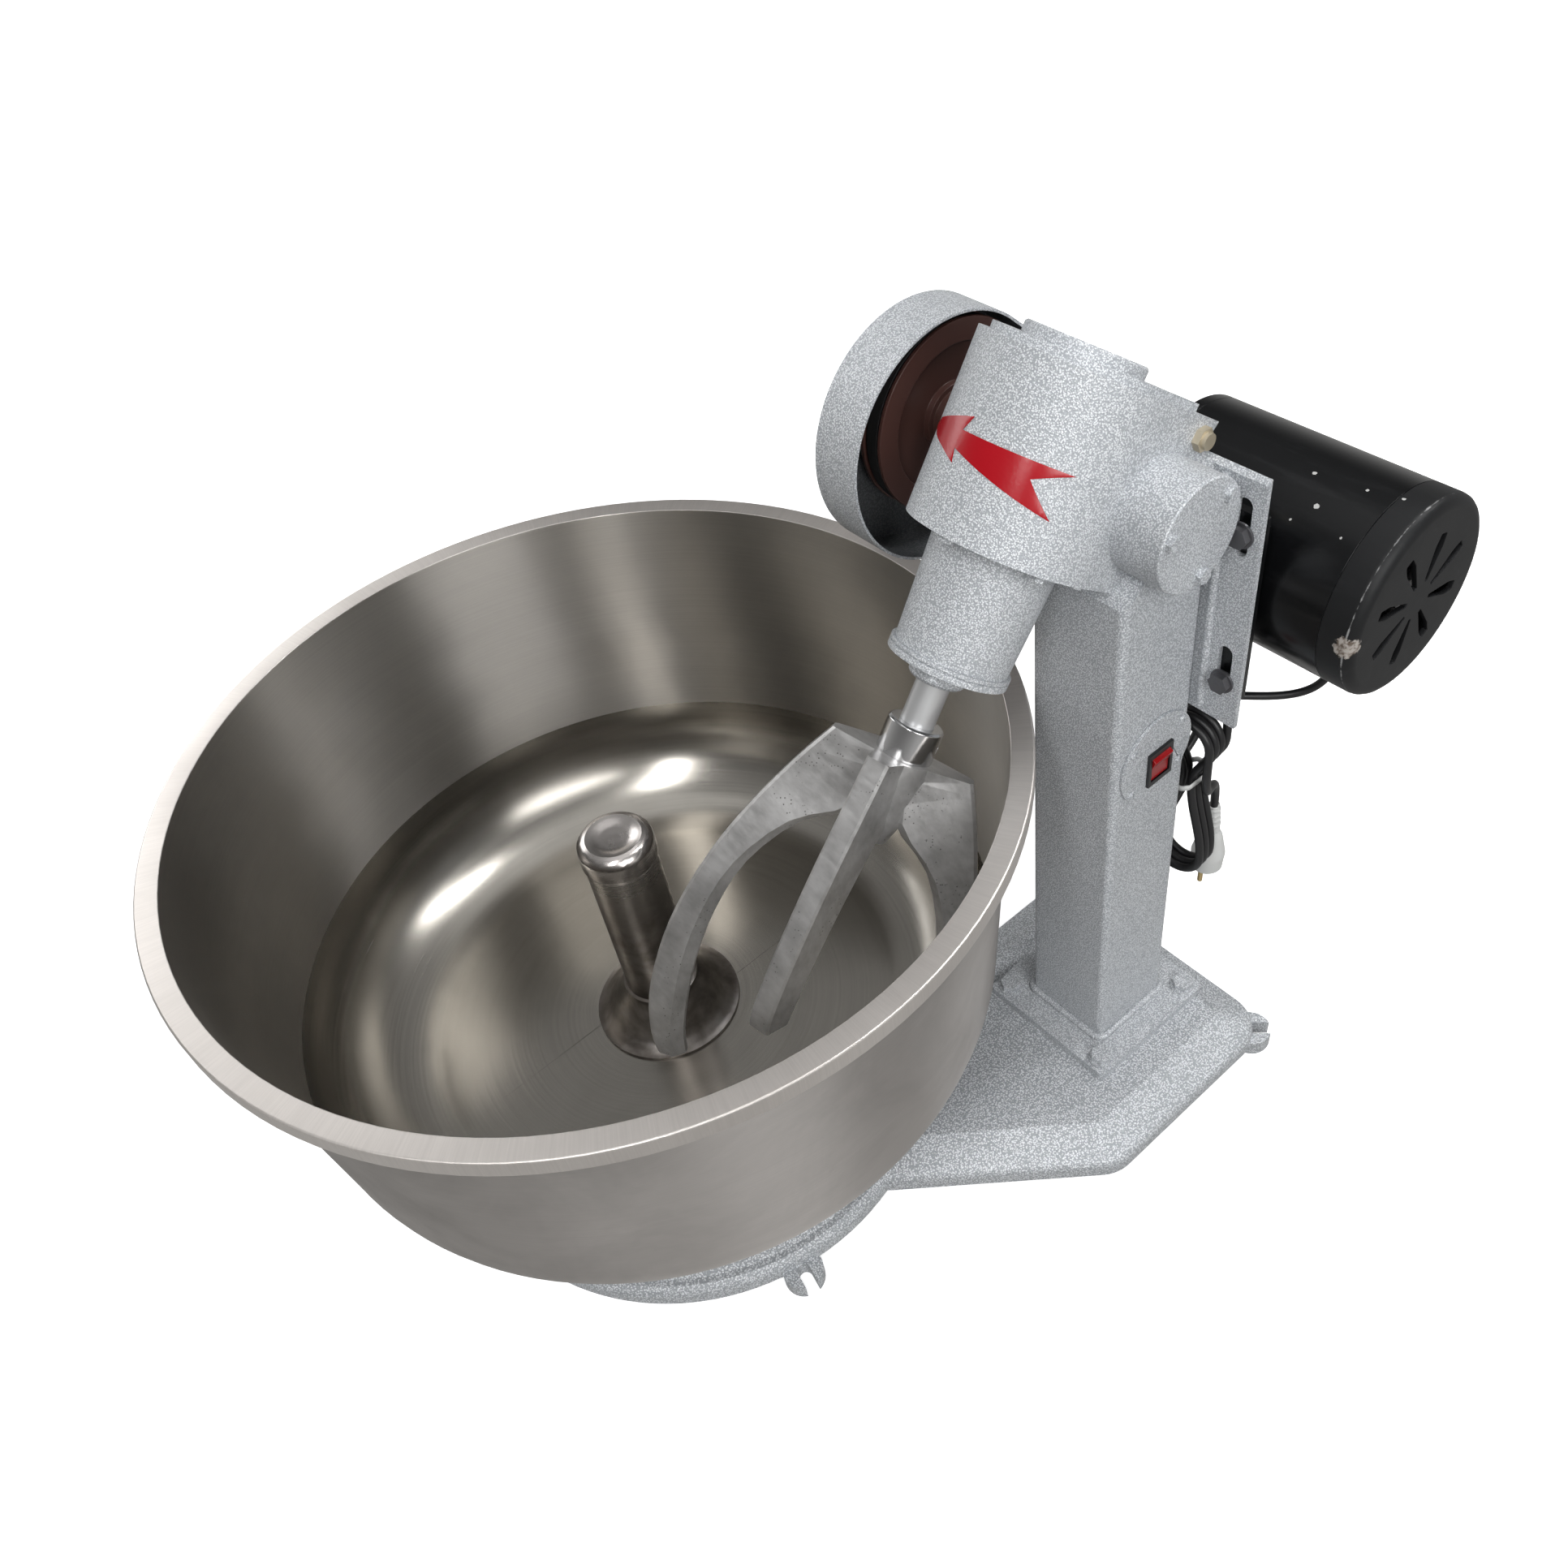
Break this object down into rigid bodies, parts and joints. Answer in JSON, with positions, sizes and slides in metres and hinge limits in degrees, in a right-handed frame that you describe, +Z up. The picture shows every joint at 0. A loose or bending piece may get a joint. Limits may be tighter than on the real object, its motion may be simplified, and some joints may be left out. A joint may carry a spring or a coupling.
{
  "type": "commercial stand mixer",
  "caption": "Commercial stand mixer: cast base, square column, leaning worm gearbox with a claw paddle, turning steel bowl with a centre post, belt drive and side motor.",
  "frame": {"origin": "on the floor, under the middle of the machine's bounding box", "axes": "+Z up, +Y from the bowl to the motor, +X to the switch side"},
  "size_m": [0.6589, 0.818, 0.6844],
  "materials": {
    "hammertone": "silver hammertone enamel",
    "bolt_steel": "zinc plated steel",
    "stainless": "brushed stainless steel",
    "chrome": "polished",
    "cast_alloy": "cast and tumbled aluminium",
    "motor_black": "gloss black enamel",
    "bearing_steel": "ground steel",
    "bronze": "machined bronze",
    "copper": "enamelled copper wire",
    "iron_core": "laminated iron",
    "pulley_red": "red oxide primer",
    "cast_pulley": "turned cast iron",
    "belt_rubber": "black rubber",
    "cord_rubber": "black cord sheath",
    "black_plastic": "moulded black",
    "red_plastic": "moulded red",
    "pale_plastic": "moulded pale grey",
    "brass_pin": "turned brass",
    "arrow": "thin red film"
  },
  "bodies": {
    "frame": {"base_casting": "hammertone", "column": "hammertone", "column_foot_plate": "hammertone", "foot_plate_bolts": "hammertone", "column_saddle": "hammertone", "gearbox_housing": "hammertone", "top_cover": "hammertone", "top_cover_bolts": "hammertone", "output_snout": "hammertone", "snout_bolts": "hammertone", "snout_end_cap": "hammertone", "end_cap_bolts": "hammertone", "seal_collar": "bearing_steel", "output_bearings": "bearing_steel", "worm_bearings": "bearing_steel", "worm_seal": "bearing_steel", "worm_cover": "hammertone", "worm_cover_bolts": "hammertone", "filler_plug": "brass_pin", "rotation_arrow": "arrow", "drive_belt": "belt_rubber", "belt_guard": "hammertone", "guard_arm": "hammertone", "guard_bolts": "bolt_steel", "motor_bracket": "hammertone", "motor_mount_bolts": "motor_black", "motor_feet": "motor_black", "motor_shell": "motor_black", "motor_vent_cover": "motor_black", "motor_rear_bell": "motor_black", "motor_fan_bell": "motor_black", "stator_core": "iron_core", "stator_windings": "copper", "motor_bearings": "bearing_steel", "motor_lead": "cord_rubber", "switch_plate": "hammertone", "switch_screws": "bolt_steel", "switch_body": "black_plastic", "cord_gland": "black_plastic", "power_cord": "cord_rubber", "cord_tie": "pale_plastic", "mains_plug": "pale_plastic", "plug_pins": "brass_pin", "bowl_bearings": "bearing_steel"},
    "bowl_group": {"bowl": "stainless", "bowl_post": "stainless", "bowl_turntable": "cast_pulley", "bowl_spindle": "bearing_steel", "bowl_screws": "bolt_steel"},
    "paddle_group": {"output_shaft": "bearing_steel", "worm_wheel": "bronze", "paddle_collar": "chrome", "collar_pin": "bolt_steel", "paddle": "cast_alloy"},
    "worm_group": {"worm_shaft": "bearing_steel", "driven_pulley": "pulley_red"},
    "rotor_group": {"rotor": "bearing_steel", "motor_pulley": "cast_pulley", "cooling_fan": "black_plastic"},
    "rocker_group": {"switch_rocker": "red_plastic"}
  },
  "joints": [
    {"name": "motor_spin", "type": "hinge", "parent": "frame", "child": "rotor_group", "pos_m": [0.1865, 0.338, 0.489], "axis": [1, 0, 0], "continuous": true},
    {"name": "worm_spin", "type": "hinge", "parent": "frame", "child": "worm_group", "pos_m": [0.1865, 0.20974, 0.57169], "axis": [1, 0, 0], "continuous": true},
    {"name": "paddle_spin", "type": "hinge", "parent": "frame", "child": "paddle_group", "pos_m": [0.1395, 0.138, 0.541], "axis": [0, -0.5878, -0.809], "continuous": true},
    {"name": "bowl_spin", "type": "hinge", "parent": "frame", "child": "bowl_group", "pos_m": [-0.0195, -0.099, 0.1], "axis": [0, 0, 1], "continuous": true},
    {"name": "switch_rock", "type": "hinge", "parent": "frame", "child": "rocker_group", "pos_m": [0.2255, 0.2165, 0.361], "axis": [0, 1, 0], "range_deg": [-22, 0]}
  ],
  "couplings": [
    {"joint": "worm_spin", "follows": "motor_spin", "ratio": 0.34921},
    {"joint": "paddle_spin", "follows": "motor_spin", "ratio": 0.017461}
  ]
}
